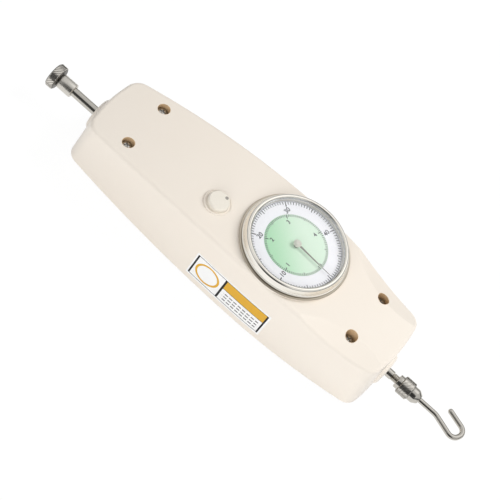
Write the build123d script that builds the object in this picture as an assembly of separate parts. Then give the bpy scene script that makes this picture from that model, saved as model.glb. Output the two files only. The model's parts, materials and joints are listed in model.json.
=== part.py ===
from build123d import *
from math import asin, atan, cos, degrees, pi, radians, sin, sqrt, tan
import os

# Analogue push and pull force gauge, millimetres.
# +X runs along the measuring shaft from the push head to the hook, +Z is the dial's normal.
# The origin is the centre of the four stand holes, on the flat back of the casing.

# ---- driving dimensions: casing
HALF_WIDTH = 30.0           # half width of the casing at its front, beside the dial
WIDEST_X = 20.0             # where the casing is widest
PUSH_SIDE_RADIUS = 820.0    # long taper towards the push head
HOOK_SIDE_RADIUS = 385.0    # shorter taper towards the hook
PUSH_END_X = -96.3
HOOK_END_X = 96.6
END_BULGE = 2.4             # how far each end face bows out between its corners
CORNER_RADIUS = 8.5
SIDE_DRAFT = 2.2            # degrees, the casing narrows towards its back
END_FLARE = 3.0             # degrees, and grows longer
WALL = 3.0
FRONT_Z = 44.6              # front face at the dial
CROWN_RADIUS = 644.0        # fall of the front face towards the push head
LAND_FALL = 3.0             # degrees, fall of the flat land towards the hook
CHEEK_CENTRE = (61.0, 62.7)  # on the land, measured from its start beside the dial
CHEEK_RADIUS = 48.8
CHEEK_SLOPE = 0.34          # drop per millimetre across each cheek
PARTING_DROP = 4.4          # front cover's edge below the front face
COVER_WALL = 3.0
PARTING_RADIUS = 300.0      # fall of the parting line towards the hook
BACK_EDGE = 2.5
FRONT_EDGE = 2.1
CHEEK_EDGE = 1.8
BOSS_RADIUS = 9.6           # round boss at each end, on the shaft's axis
BOSS_FACE_PUSH = -99.3
BOSS_FACE_HOOK = 99.4

# ---- driving dimensions: shaft line
SHAFT_Z = 18.0
SHAFT_RADIUS = 2.5
SHAFT_FIT = 0.03            # running clearance on radius
STROKE = 10.0
PUSH_FACE_X = -129.4
HOOK_ROOT_X = 121.4

# ---- driving dimensions: dial and movement
DIAL_X = 23.0
PLATE_TOP = 46.7
MODULE = 0.5
RACK_PINION_TEETH = 15
WHEEL_TEETH = 33
CENTRE_PINION_TEETH = 14
BACKLASH = 0.10             # taken off every tooth's thickness
COUNTER_Y = MODULE * (WHEEL_TEETH + CENTRE_PINION_TEETH) / 2
PITCH = pi * MODULE
LOWER_PLATE_Z = 22.0
UPPER_PLATE_Z = 33.5
PLATE = 1.5
PIVOT_RADIUS = 1.0

# ---- driving dimensions: fixings
SCREW_X = 73.5
SCREW_Y = 15.2
SCREW_RECESS_DEPTH = 9.0
SCREW_RECESS_RADIUS = 3.3
STAND_SPACING_X = 90.0
STAND_SPACING_Y = 30.0
STAND_HOLE_RADIUS = 2.1     # tapped M5, at its core

# ---- driving dimensions: mode button
BUTTON_X = -20.0
BUTTON_Y = -10.5
PRESS = 2.0

LOW = (Align.CENTER, Align.CENTER, Align.MIN)
CORNERS = [(sx, sy) for sx in (-1, 1) for sy in (-1, 1)]


# ---------------------------------------------------------------- shape helpers
def post(radius, bottom, top, x=0.0, y=0.0):
    """A cylinder along Z."""
    return Pos(x, y, bottom) * Cylinder(radius, top - bottom, align=LOW)


def tube(outer, inner, bottom, top, x=0.0, y=0.0):
    return post(outer, bottom, top, x, y) - post(inner, bottom - 1, top + 1, x, y)


def rod(radius, start, end, y=0.0, z=SHAFT_Z):
    """A cylinder along X."""
    return Pos(start, y, z) * Rot(0, 90, 0) * Cylinder(radius, end - start, align=LOW)


def block(x, y, z):
    """A box from its limits along X, Y and Z."""
    size = [b - a for a, b in (x, y, z)]
    return Pos(x[0], y[0], z[0]) * Box(*size, align=(Align.MIN,) * 3)


def turned(points, x=0.0, y=0.0):
    """A part turned about a vertical axis, from (radius, z) points."""
    face = Plane.XZ * make_face(Polyline(*points, close=True))
    return Pos(x, y, 0) * revolve(face, Axis.Z)


def shaft_turned(points):
    """A part turned about the shaft's axis, from (x, radius) points."""
    return Pos(0, 0, SHAFT_Z) * revolve(make_face(Polyline(*points, close=True)), Axis.X)


def plate(points, bottom, top):
    """A flat part with a straight sided outline."""
    return extrude(Pos(0, 0, bottom) * make_face(Polyline(*points, close=True)), top - bottom)


def at_screws(make):
    """One part at each front screw; make(x, y) builds it."""
    return Part() + [make(sx * SCREW_X, sy * SCREW_Y) for sx, sy in CORNERS]


# ---------------------------------------------------------------- casing form
def crown_z(x):
    """Height of the front face on the push side of the dial."""
    return FRONT_Z - CROWN_RADIUS + sqrt(CROWN_RADIUS**2 - (x - WIDEST_X)**2)


def land_z(x):
    """Height of the flat land between the dial and the hook."""
    return FRONT_Z - (x - WIDEST_X) * tan(radians(LAND_FALL))


def side_y(x, inset):
    radius = (PUSH_SIDE_RADIUS if x < WIDEST_X else HOOK_SIDE_RADIUS) - inset
    return HALF_WIDTH - inset - radius + sqrt(radius**2 - (x - WIDEST_X)**2)


def outline(inset, depth):
    """The casing seen from the front, drawn in by an inset, at a depth below the dial's seat."""
    flare = depth * tan(radians(END_FLARE)) - inset
    inset += depth * tan(radians(SIDE_DRAFT))
    push, hook = PUSH_END_X - flare, HOOK_END_X + flare
    push_corner, hook_corner = push + END_BULGE, hook - END_BULGE
    push_middle, hook_middle = (push_corner + WIDEST_X) / 2, (hook_corner + WIDEST_X) / 2

    def at(x, side):
        return (x, side * side_y(x, inset))

    face = make_face([
        ThreePointArc(at(push_corner, -1), (push, 0), at(push_corner, 1)),
        ThreePointArc(at(push_corner, 1), at(push_middle, 1), at(WIDEST_X, 1)),
        ThreePointArc(at(WIDEST_X, 1), at(hook_middle, 1), at(hook_corner, 1)),
        ThreePointArc(at(hook_corner, 1), (hook, 0), at(hook_corner, -1)),
        ThreePointArc(at(hook_corner, -1), at(hook_middle, -1), at(WIDEST_X, -1)),
        ThreePointArc(at(WIDEST_X, -1), at(push_middle, -1), at(push_corner, -1)),
    ])
    corners = [v for v in face.vertices() if abs(v.X) > SCREW_X]
    return fillet(corners, max(CORNER_RADIUS - inset, 1.5))


def casing_prism(inset=0.0, bottom=0.0, top=FRONT_Z + 2):
    """The drafted walls, without front or back detail."""
    sections = [Pos(0, 0, z) * outline(inset, FRONT_Z - z) for z in (bottom, top)]
    return loft(sections, ruled=True)


def below(curve):
    """Everything under a curve drawn in the XZ plane, across the casing."""
    start, end = curve[0] @ 0, curve[-1] @ 1
    floor = Polyline(end, (end.X, -20), (start.X, -20), start)
    return extrude(Plane.XZ * make_face([*curve, floor]), 45, both=True)


def front_curve(lower=0.0):
    far = 110.0
    push = [(x, crown_z(x) - lower) for x in (-far, -40, WIDEST_X)]
    return [ThreePointArc(*push), Line(push[-1], (far, land_z(far) - lower))]


def parting_curve(lower=0.0):
    """The line where the front cover meets the rear case."""
    far = 110.0
    drop = PARTING_DROP + lower

    def hook_z(x):
        return FRONT_Z - PARTING_RADIUS + sqrt(PARTING_RADIUS**2 - (x - WIDEST_X)**2) - drop

    return [
        ThreePointArc((-far, crown_z(-far) - drop), (-40, crown_z(-40) - drop), (WIDEST_X, FRONT_Z - drop)),
        ThreePointArc((WIDEST_X, FRONT_Z - drop), (60, hook_z(60)), (far, hook_z(far))),
    ]


def cheek_cutters():
    """A shallow cone at each side planes the land down to the casing's edge near the hook."""
    depth, above = 13.0, 3.0
    cone = Cone(
        CHEEK_RADIUS - depth / CHEEK_SLOPE, CHEEK_RADIUS + above / CHEEK_SLOPE, depth + above, align=LOW
    )
    land = Plane(origin=(WIDEST_X, 0, FRONT_Z), z_dir=(sin(radians(LAND_FALL)), 0, cos(radians(LAND_FALL))))
    x, y = CHEEK_CENTRE
    return [land * Pos(x, side * y, -depth) * cone for side in (-1, 1)]


def front_surface_z(x):
    return crown_z(x) if x < WIDEST_X else land_z(x)


def recess_floor(x):
    return front_surface_z(x) - SCREW_RECESS_DEPTH


def front_cover():
    solid = casing_prism() & below(front_curve())
    solid -= below(parting_curve())
    solid = fillet(solid.edges().filter_by(on_front_rim), FRONT_EDGE)
    solid -= cheek_cutters()
    solid = fillet(solid.edges().filter_by(on_cheek_edge), CHEEK_EDGE)
    solid += post(29.6, FRONT_Z - 2, FRONT_Z, DIAL_X)
    pocket = casing_prism(WALL + 3.5, 20) & below(front_curve(COVER_WALL))
    solid -= pocket & block((PUSH_END_X + 12, DIAL_X - 20), (-40, 40), (0, 60))
    lip = casing_prism(WALL + 0.15, 20) - casing_prism(WALL + 2.0, 19, FRONT_Z + 3)
    solid += lip & (below(parting_curve(-0.5)) - below(parting_curve(2.2)))
    solid += at_screws(lambda x, y: post(5.0, recess_floor(x) - 2.5, front_surface_z(x) - 2.5, x, y))
    solid -= at_screws(lambda x, y: post(SCREW_RECESS_RADIUS, recess_floor(x), FRONT_Z + 5, x, y))
    solid -= at_screws(lambda x, y: post(2.15, recess_floor(x) - 5, FRONT_Z, x, y))
    solid -= post(17.5, 30, FRONT_Z + 5, DIAL_X)
    solid -= post(COLLAR_RADIUS + 0.02, 30, FRONT_Z + 5, BUTTON_X, BUTTON_Y)
    solid -= post(COLLAR_FLANGE + 0.05, COLLAR_SEAT_Z, FRONT_Z + 5, BUTTON_X, BUTTON_Y)
    for x, y in dial_screw_places():
        solid -= post(1.05, 35, FRONT_Z + 1, x, y)
    return solid


def on_front_rim(edge):
    """The outer edge of the front face, all round the casing."""
    middle = edge @ 0.5
    on_side = abs(middle.Y) > side_y(middle.X, 3.0)
    on_end = not PUSH_END_X + 4 < middle.X < HOOK_END_X - 4
    fall = min(front_surface_z((edge @ t).X) - (edge @ t).Z for t in (0.1, 0.5, 0.9))
    return (on_side or on_end) and fall < PARTING_DROP - 1 and not is_upright(edge)


def on_cheek_edge(edge):
    """The edge that a cheek leaves against the walls near the hook."""
    middle = edge @ 0.5
    on_side = middle.X > WIDEST_X + 25 and abs(middle.Y) > side_y(middle.X, 1.5)
    on_end = middle.X > HOOK_END_X - 9 and abs(middle.Y) > 14
    return (on_side or on_end) and middle.Z > parting_height(middle.X) + 0.5 and not is_upright(edge)


def is_upright(edge):
    return abs((edge @ 0).Z - (edge @ 1).Z) > 0.8 * edge.length


def parting_height(x):
    if x < WIDEST_X:
        return crown_z(x) - PARTING_DROP
    return FRONT_Z - PARTING_RADIUS + sqrt(PARTING_RADIUS**2 - (x - WIDEST_X)**2) - PARTING_DROP


def rear_case():
    solid = casing_prism() & below(parting_curve())
    back = solid.faces().sort_by(Axis.Z)[0]
    solid = fillet(back.edges(), BACK_EDGE)
    for face_x, inner_x in ((BOSS_FACE_PUSH, -90), (BOSS_FACE_HOOK, 90)):
        start, end = sorted((face_x, inner_x))
        boss = rod(BOSS_RADIUS, start, end)
        outer = boss.faces().sort_by(Axis.X)[0 if face_x < 0 else -1]
        solid += fillet(outer.edges(), 2.4)
    solid -= casing_prism(WALL, WALL, FRONT_Z + 4)
    solid += at_screws(lambda x, y: post(5.0, WALL - 0.5, recess_floor(x) - 2.5, x, y)) & casing_prism(1.0, 0)
    solid -= at_screws(lambda x, y: post(5.2, recess_floor(x) - 2.5, FRONT_Z, x, y))
    solid -= at_screws(lambda x, y: post(2.0, recess_floor(x) - 14, FRONT_Z, x, y))
    solid += [post(4.0, WALL - 0.5, CHASSIS_Z, x, y) for x, y in CHASSIS_SCREWS]
    solid -= [post(1.5, 1.2, CHASSIS_Z + 1, x, y) for x, y in CHASSIS_SCREWS]
    stand_bosses = Part() + [post(5.5, WALL - 0.5, 8.5, x, y) for x, y in stand_places()]
    solid += stand_bosses & casing_prism(1.0, 0)
    solid -= [post(4.0, -1, 8.0, x, y) for x, y in stand_places()]
    solid -= rod(5.0, -110, 110)
    return solid


def cover_screws():
    def screw(x, y):
        seat = recess_floor(x)
        body = turned(
            [(0, seat - 12), (1.6, seat - 12), (1.95, seat - 11.2), (1.95, seat), (3.0, seat),
             (3.0, seat + 1.5), (2.5, seat + 2.4), (0, seat + 2.6)], x, y)
        slots = block((x - 0.4, x + 0.4), (y - 1.7, y + 1.7), (seat + 1.2, seat + 3))
        return body - slots - Pos(x, y, 0) * Rot(0, 0, 90) * Pos(-x, -y, 0) * slots
    return at_screws(screw)


def stand_places():
    return [(sx * STAND_SPACING_X / 2, sy * STAND_SPACING_Y / 2) for sx, sy in CORNERS]


def stand_inserts():
    return Part() + [tube(4.0, STAND_HOLE_RADIUS, 0, 8.0, x, y) for x, y in stand_places()]


# ---------------------------------------------------------------- chassis and shaft line
CHASSIS_Z = 5.0
CHASSIS_HALF_WIDTH = 9.3
CHASSIS_SCREWS = [(-66.0, 5.0), (-66.0, -5.0), (66.0, 5.0), (66.0, -5.0)]
REST_STOP_X = -59.0
SPRING_SEAT_X = -10.0
TRAVEL_STOP_X = 59.3
BULKHEAD = 3.0


def chassis():
    """A folded and machined channel: base strip with three bulkheads."""
    half = CHASSIS_HALF_WIDTH
    base = plate(
        [(-70, -half + 1), (-69, -half), (69, -half), (70, -half + 1),
         (70, half - 1), (69, half), (-69, half), (-70, half - 1)], CHASSIS_Z, CHASSIS_Z + 2)
    base -= [post(1.6, 0, 10, x, y) for x, y in CHASSIS_SCREWS]
    base -= block((-40, -22), (-4, 4), (0, 10))
    for x in (REST_STOP_X - BULKHEAD, SPRING_SEAT_X, TRAVEL_STOP_X):
        wall = block((x, x + BULKHEAD), (-half, half), (CHASSIS_Z + 1.5, SHAFT_Z + 8))
        top_corners = [e for e in wall.edges().filter_by(Axis.X) if (e @ 0.5).Z > SHAFT_Z + 7]
        base += fillet(top_corners, 5.0)
    base -= rod(3.2, -80, 80)
    base -= [post(1.2, CHASSIS_Z - 1, CHASSIS_Z + 3, x, y) for x, y in POST_PLACES]
    return base


def chassis_screws():
    top = CHASSIS_Z + 2
    return Part() + [
        turned([(0, 1.4), (1.4, 1.4), (1.4, top), (2.7, top), (2.7, top + 1.2), (1.8, top + 2), (0, top + 2)], x, y)
        for x, y in CHASSIS_SCREWS
    ]


def bush(face_x, inner_x):
    """A plain bush with a flange on its inner end, pressed into an end boss."""
    sign = 1 if inner_x > face_x else -1
    outer, inner = face_x + sign * 0.4, inner_x
    points = [(outer, SHAFT_RADIUS + SHAFT_FIT), (outer, 4.3), (outer + sign * 0.7, 4.95), (inner, 4.95),
              (inner, 6.5), (inner + sign * 1.5, 6.5), (inner + sign * 1.5, SHAFT_RADIUS + SHAFT_FIT)]
    return shaft_turned(points)


def push_bush():
    return bush(BOSS_FACE_PUSH, -90.0)


def hook_bush():
    return bush(BOSS_FACE_HOOK, 90.0)


def measuring_shaft():
    """Ground rod with a threaded spigot at each end."""
    neck = 1.95
    return shaft_turned([
        (-125.5, 0), (-125.5, neck - 0.4), (-125.1, neck), (-115.5, neck), (-115.5, SHAFT_RADIUS - 0.3),
        (-115.2, SHAFT_RADIUS), (103.0, SHAFT_RADIUS), (103.4, SHAFT_RADIUS - 0.4), (103.4, neck),
        (113.6, neck), (114.0, neck - 0.4), (114.0, 0),
    ])


def shaft_collar(start, end, radius):
    """A turned collar with a spigot groove and a grub screw hole."""
    collar = shaft_turned([
        (start, SHAFT_RADIUS), (start, radius - 0.6), (start + 0.6, radius), (end - 0.6, radius),
        (end, radius - 0.6), (end, SHAFT_RADIUS),
    ])
    return collar - post(1.0, SHAFT_Z + SHAFT_RADIUS, SHAFT_Z + 20, (start + end) / 2)


def spring_collar():
    seat = shaft_collar(REST_STOP_X + 0.3, -52.7, 8.0)
    return seat + shaft_turned([(-52.7, SHAFT_RADIUS), (-52.7, 4.6), (-49.5, 4.6), (-49.0, 4.1), (-49.0, SHAFT_RADIUS)])


def stop_collar():
    end = TRAVEL_STOP_X - STROKE - 0.3
    return shaft_collar(end - 4.6, end, 6.5)


def coil(radius, wire, start, end, turns):
    """A coil spring along Z whose end turns stop short of its seats by the wire's radius."""
    height = end - start - wire
    path = Pos(0, 0, start + wire / 2) * Helix(height / turns, height, radius)
    section = Plane(origin=path @ 0, z_dir=path % 0) * RegularPolygon(wire / 2, 6)
    return sweep(section, path, is_frenet=True)


def load_spring():
    spring = coil(6.0, 1.6, 0, SPRING_SEAT_X + 52.6, 8)
    return Pos(-52.6, 0, SHAFT_Z) * Rot(0, 90, 0) * spring


# ---------------------------------------------------------------- push head and hook
def push_head():
    """Round push head with a coin edge, on an undercut sleeve that screws onto the shaft."""
    face = PUSH_FACE_X
    head = shaft_turned([
        (face, 0), (face, 5.6), (face + 0.8, 6.6), (face + 3.1, 6.6), (face + 3.8, 5.6),
        (face + 4.4, 3.3), (face + 5.2, 3.3), (face + 5.5, 4.0), (face + 13.9, 4.0), (face + 14.2, 3.7),
        (face + 14.2, SHAFT_RADIUS + 0.1), (face + 13.0, SHAFT_RADIUS + 0.1), (face + 13.0, 1.97),
        (face + 3.6, 1.97), (face + 3.6, 0),
    ])
    return head


def hook_adaptor():
    """Knurled coupling between the shaft's thread and the hook's."""
    end = HOOK_ROOT_X
    return shaft_turned([
        (end - 15.0, 1.97), (end - 15.0, 3.35), (end - 14.6, 3.75), (end - 12.2, 3.75), (end - 12.2, 4.2),
        (end - 11.8, 4.6), (end - 6.1, 4.6), (end - 5.7, 4.2), (end - 5.7, 3.75), (end - 2.5, 3.75),
        (end, 2.5), (end, 1.52), (end - 7.2, 1.52), (end - 7.2, 1.97),
    ])


HOOK_WIRE = 1.5
HOOK_ROUTE = [(0, 0), (11.0, 0), (25.4, -5.0), (28.9, 3.6), (16.2, 7.7)]
HOOK_BENDS = [9.0, 4.1, 4.1]


def hook():
    """A bent steel wire; its route is measured from the face of the adaptor."""
    start = (HOOK_ROOT_X - 7.0, 0, SHAFT_Z)
    points = [start] + [(HOOK_ROOT_X + x, y, SHAFT_Z) for x, y in HOOK_ROUTE[1:]]
    path = FilletPolyline(*points, radius=HOOK_BENDS)
    wire = sweep(Plane(origin=start, z_dir=(1, 0, 0)) * Circle(HOOK_WIRE), path)
    return wire + Pos(*points[-1]) * Sphere(HOOK_WIRE)


# ---------------------------------------------------------------- gear train
def involute(base, radius):
    """Turn of an involute flank at a radius, from its start on the base circle."""
    if radius <= base:
        return 0.0
    roll = sqrt((radius / base)**2 - 1)
    return roll - atan(roll)


def gear(teeth, bottom, top, bore, turn=0.0):
    """A spur gear with a tooth centred on +X before it is turned, in degrees."""
    pitch_radius = MODULE * teeth / 2
    base = pitch_radius * cos(radians(20))
    root, tip = pitch_radius - 1.15 * MODULE, pitch_radius + 0.8 * MODULE
    half_tooth = (PITCH / 2 - BACKLASH) / 2 / pitch_radius + involute(base, pitch_radius)
    radii = [root, max(base, root) * 0.5 + pitch_radius * 0.5, tip]
    points = []
    for tooth in range(teeth):
        middle = 2 * pi * tooth / teeth + radians(turn)
        flank = [(r, half_tooth - involute(base, r)) for r in radii]
        for r, half in flank:
            points.append((r * cos(middle - half), r * sin(middle - half)))
        for r, half in reversed(flank):
            points.append((r * cos(middle + half), r * sin(middle + half)))
    return plate(points, bottom, top) - post(bore, bottom - 1, top + 1)


RACK_Z = (25.0, 28.0)
RACK_PITCH_Y = COUNTER_Y - MODULE * RACK_PINION_TEETH / 2


def rack():
    """Toothed bar beside the centre arbor, with a foot that the carrier holds."""
    root, tip = RACK_PITCH_Y - 1.15 * MODULE, RACK_PITCH_Y + 0.8 * MODULE
    slope = tan(radians(20))
    half = (PITCH / 2 - BACKLASH) / 2
    first, last = -9, 3
    points = [(30.0, 3.2), (30.0, root)]
    for tooth in range(last, first - 1, -1):
        middle = DIAL_X + tooth * PITCH
        for side, y in ((1, root), (1, tip), (-1, tip), (-1, root)):
            points.append((middle + side * (half - (y - RACK_PITCH_Y) * slope), y))
    points += [(2.0, root), (2.0, -2.4), (11.0, -2.4), (11.0, 3.2)]
    bar = plate(points, *RACK_Z)
    return bar - [post(1.0, 20, 30, x) for x in (4.5, 8.5)]


def rack_carrier():
    """Clamp block on the shaft; its neck runs in the lower plate's slot and stops the shaft turning."""
    body = block((2, 12), (-5, 5), (SHAFT_Z - 5, LOWER_PLATE_Z - 0.4))
    body = chamfer(body.edges().filter_by(Axis.Z), 1.0)
    body += block((2, 11), (-2.4, 2.4), (LOWER_PLATE_Z - 1, RACK_Z[0]))
    body -= rod(SHAFT_RADIUS, 0, 14)
    body -= rod(0.8, 3, 11, y=4.0, z=SHAFT_Z - 3.5)
    return body - [post(1.0, LOWER_PLATE_Z, 30, x) for x in (4.5, 8.5)]


def rack_screws():
    top = RACK_Z[1]
    return Part() + [
        turned([(0, 22.4), (0.95, 22.4), (0.95, top), (1.6, top), (1.6, top + 0.6), (0, top + 0.6)], x)
        for x in (4.5, 8.5)
    ]


def counter_arbor():
    return turned([
        (0, LOWER_PLATE_Z + 0.2), (PIVOT_RADIUS - 0.03, LOWER_PLATE_Z + 0.2),
        (PIVOT_RADIUS - 0.03, 23.9), (1.5, 23.9), (1.5, 32.9), (PIVOT_RADIUS - 0.03, 32.9),
        (PIVOT_RADIUS - 0.03, 34.8), (0, 34.8),
    ], DIAL_X, COUNTER_Y)


def rack_pinion():
    """A gap between two teeth faces the rack at rest."""
    gap_down = -90 + 180 / RACK_PINION_TEETH
    return Pos(DIAL_X, COUNTER_Y, 0) * gear(RACK_PINION_TEETH, 24.6, 28.6, 1.5, gap_down)


def counter_wheel():
    """A tooth faces the centre arbor at rest."""
    return Pos(DIAL_X, COUNTER_Y, 0) * gear(WHEEL_TEETH, 29.4, 30.8, 1.5, -90)


def centre_pinion():
    gap_up = 90 + 180 / CENTRE_PINION_TEETH
    return Pos(DIAL_X, 0, 0) * gear(CENTRE_PINION_TEETH, 29.1, 31.1, 1.3, gap_up)


def centre_arbor():
    return turned([
        (0, LOWER_PLATE_Z + 0.2), (PIVOT_RADIUS - 0.03, LOWER_PLATE_Z + 0.2), (PIVOT_RADIUS - 0.03, 23.9),
        (1.3, 23.9), (1.3, 32.9), (PIVOT_RADIUS - 0.03, 32.9), (PIVOT_RADIUS - 0.03, 49.0), (0, 49.0),
    ], DIAL_X)


RATCHET_RADIUS = 6.0


def ratchet_wheel():
    """Saw teeth on the centre arbor, for the pawl that holds a peak reading."""
    teeth, depth = 40, 0.5
    points = []
    for tooth in range(teeth):
        angle = 2 * pi * tooth / teeth
        points.append((RATCHET_RADIUS * cos(angle), RATCHET_RADIUS * sin(angle)))
        angle -= 0.15 * 2 * pi / teeth
        points.append(((RATCHET_RADIUS - depth) * cos(angle + 2 * pi / teeth),
                       (RATCHET_RADIUS - depth) * sin(angle + 2 * pi / teeth)))
    disc = plate(points, 35.8, 36.8)
    hub = tube(2.4, PIVOT_RADIUS - 0.03, 35.3, 38.0)
    return Pos(DIAL_X, 0, 0) * (disc - post(2.0, 30, 40) + hub)


MOVEMENT_X = (-5.0, 43.6)
MOVEMENT_Y = (-13.5, 21.0)
PILLAR_PLACES = [(x, y) for x in (2.0, 41.0) for y in (-10.0, 17.5)]
POST_PLACES = [(x, y) for x in (-2.2, 41.0) for y in (-6.4, 6.4)]


def movement_plate(bottom):
    (x0, x1), (y0, y1) = MOVEMENT_X, MOVEMENT_Y
    body = block((x0, x1), (y0, y1), (bottom, bottom + PLATE))
    body = fillet(body.edges().filter_by(Axis.Z), 4.0)
    body -= [post(PIVOT_RADIUS, bottom - 1, bottom + 3, DIAL_X, y) for y in (0, COUNTER_Y)]
    return body - [post(1.05, bottom - 1, bottom + 3, x, y) for x, y in PILLAR_PLACES]


def lower_plate():
    slot_end = 11 + STROKE + 0.5
    slot = block((1.5, slot_end), (-2.45, 2.45), (LOWER_PLATE_Z - 1, LOWER_PLATE_Z + 3))
    body = movement_plate(LOWER_PLATE_Z) - slot
    return body - [post(1.05, LOWER_PLATE_Z - 1, LOWER_PLATE_Z + 3, x, y) for x, y in POST_PLACES]


def upper_plate():
    window = block((26, 38), (-9, -3.5), (UPPER_PLATE_Z - 1, UPPER_PLATE_Z + 3))
    return movement_plate(UPPER_PLATE_Z) - window - post(0.9, 30, 40, *PAWL_PIVOT)


def plate_posts():
    """Hexagonal standoffs from the chassis up to the lower plate."""
    bottom = CHASSIS_Z + 2
    column = extrude(Pos(0, 0, bottom) * RegularPolygon(2.3, 6), LOWER_PLATE_Z - bottom)
    column += post(1.2, CHASSIS_Z, bottom) + post(1.0, LOWER_PLATE_Z, LOWER_PLATE_Z + PLATE + 0.6)
    return Part() + [Pos(x, y, 0) * column for x, y in POST_PLACES]


def movement_pillars():
    bottom, top = LOWER_PLATE_Z + PLATE, UPPER_PLATE_Z
    return Part() + [
        turned([(0, bottom - 1.4), (1.0, bottom - 1.4), (1.0, bottom), (2.2, bottom), (2.2, top), (0, top)], x, y)
        for x, y in PILLAR_PLACES
    ]


def movement_screws():
    top = UPPER_PLATE_Z + PLATE
    return Part() + [
        turned([(0, UPPER_PLATE_Z), (1.0, UPPER_PLATE_Z), (1.0, top), (2.1, top), (2.1, top + 0.6),
                (1.9, top + 0.75), (0, top + 0.75)], x, y)
        - block((x - 2.5, x + 2.5), (y - 0.25, y + 0.25), (top + 0.4, top + 2))
        for x, y in PILLAR_PLACES
    ]


def hairspring():
    """Flat spiral that takes up the play of the gear train."""
    turns, steps, inner, outer, strip = 3.5, 14, 2.2, 8.0, 0.25

    def spiral(offset):
        count = int(turns * steps)
        growth = [(inner + (outer - inner) * i / count + offset, 2 * pi * i / steps) for i in range(count + 1)]
        return [(r * cos(a), r * sin(a)) for r, a in growth]

    ribbon = spiral(0) + spiral(strip)[::-1]
    return Pos(DIAL_X, 0, 0) * plate(ribbon, 31.8, 32.6)


# ---------------------------------------------------------------- dial, bezel and pointer
BASE_RADIUS = 30.0
BEZEL_RADIUS = 29.0
BASE_SPIGOT = 23.6
BEZEL_BORE = 23.68
DIAL_LIP_Z = 46.3


def dial_screw_places():
    return [(DIAL_X + 20 * cos(radians(a)), 20 * sin(radians(a))) for a in (60, 180, 300)]


def dial_base():
    """Fixed ring on the front cover that carries and centres the bezel."""
    ring = turned([
        (15.5, 41.2), (17.4, 41.2), (17.4, FRONT_Z), (BASE_RADIUS - 0.3, FRONT_Z), (BASE_RADIUS, FRONT_Z + 0.3),
        (BASE_RADIUS, 45.2), (BASE_RADIUS - 0.2, 45.4), (25.0, 45.4), (25.0, 45.05), (BASE_SPIGOT, 45.05),
        (BASE_SPIGOT, 45.68), (23.1, 45.68), (23.1, 46.02), (BASE_SPIGOT, 46.02), (BASE_SPIGOT, 46.2),
        (22.4, 46.2), (22.4, 45.4), (15.5, 45.4),
    ], DIAL_X)
    return ring - [post(1.3, 44, 46, x, y) for x, y in dial_screw_places()]


def dial_base_screws():
    return Part() + [
        turned([(0, 41.0), (1.0, 41.0), (1.0, 45.4), (1.9, 45.4), (1.9, 45.9), (0, 45.9)], x, y)
        for x, y in dial_screw_places()
    ]


def bezel_snap_ring():
    """Split wire ring in the dial base's groove; it turns the bezel's lip into a bearing."""
    ring = tube(24.15, 23.15, 45.7, 46.0, DIAL_X)
    return ring - block((DIAL_X - 30, DIAL_X - 20), (-2, 2), (45, 47))


def bezel():
    """Turning ring with a flared grip, a rounded rim and a groove for the crystal."""
    return turned([
        (BEZEL_BORE, 45.2), (24.9, 45.2), (24.9, 45.7), (BEZEL_RADIUS, 45.7), (BEZEL_RADIUS, 46.2), (27.9, 49.0),
        (27.5, 49.8), (26.9, 50.25), (26.2, 50.25), (25.4, 49.9), (24.9, 49.5), (25.3, 49.5), (25.3, 48.9),
        (24.9, 48.9), (24.75, PLATE_TOP), (24.75, DIAL_LIP_Z), (BEZEL_BORE, DIAL_LIP_Z), (BEZEL_BORE, 46.08),
        (24.3, 46.08), (24.3, 45.62), (BEZEL_BORE, 45.62),
    ], DIAL_X)


def dial_plate():
    return tube(24.7, 1.6, DIAL_LIP_Z, PLATE_TOP, DIAL_X)


def crystal():
    """Shallow clear dome with a flat rim."""
    rim, rise, wall = 25.2, 1.2, 0.8
    low, high = 48.95, 49.45
    ball = (rim**2 + rise**2) / 2 / rise
    outside = post(rim, low, high + rise, DIAL_X) & Pos(DIAL_X, 0, high + rise - ball) * Sphere(ball)
    hollow = post(rim - 1.2, low - 1, high + rise, DIAL_X)
    hollow &= Pos(DIAL_X, 0, high + rise - wall - ball) * Sphere(ball)
    return outside - hollow


def pointer():
    """Slim tapered hand pointing at the zero mark, beside the hook."""
    hub, tip = 1.7, 23.3
    hand = plate([(0.5, -0.75), (tip - 4, -0.32), (tip, -0.06), (tip, 0.06), (tip - 4, 0.32), (0.5, 0.75)], 48.2, 48.55)
    hand += post(hub, 48.0, 48.7) - post(PIVOT_RADIUS - 0.03, 47, 49)
    hand -= post(PIVOT_RADIUS - 0.03, 47, 49)
    return Pos(DIAL_X, 0, 0) * hand


def pointer_cap():
    cap = turned([(0, 49.0), (PIVOT_RADIUS - 0.03, 49.0), (PIVOT_RADIUS - 0.03, 48.7), (1.55, 48.7), (1.55, 49.0),
                  (1.1, 49.35), (0, 49.45)], DIAL_X)
    return cap


# ---------------------------------------------------------------- mode button and peak pawl
BUTTON_SURFACE = crown_z(BUTTON_X)
COLLAR_SEAT_Z = 42.8
COLLAR_RADIUS = 7.1
COLLAR_FLANGE = 7.5
SLEEVE_RADIUS = 6.4
CAM_RADIUS = 4.6
CAM_THROW = 1.2
INDEX_PLACE = (BUTTON_X + 1.9, BUTTON_Y + 3.8)
CAP_TOP = BUTTON_SURFACE + 3.0
PAWL_PIVOT = (8.0, -8.5)
PAWL_Z = (35.9, 36.7)


def mode_collar():
    """Fixed ring in the front cover round the button."""
    top = BUTTON_SURFACE + 0.7
    bore = SLEEVE_RADIUS + 0.05
    return turned([
        (bore, 37.75), (COLLAR_RADIUS, 37.75), (COLLAR_RADIUS, COLLAR_SEAT_Z), (COLLAR_FLANGE, COLLAR_SEAT_Z),
        (COLLAR_FLANGE, top - 0.3), (COLLAR_FLANGE - 0.3, top), (6.95, top), (6.95, BUTTON_SURFACE),
        (bore, BUTTON_SURFACE),
    ], BUTTON_X, BUTTON_Y)


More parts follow.
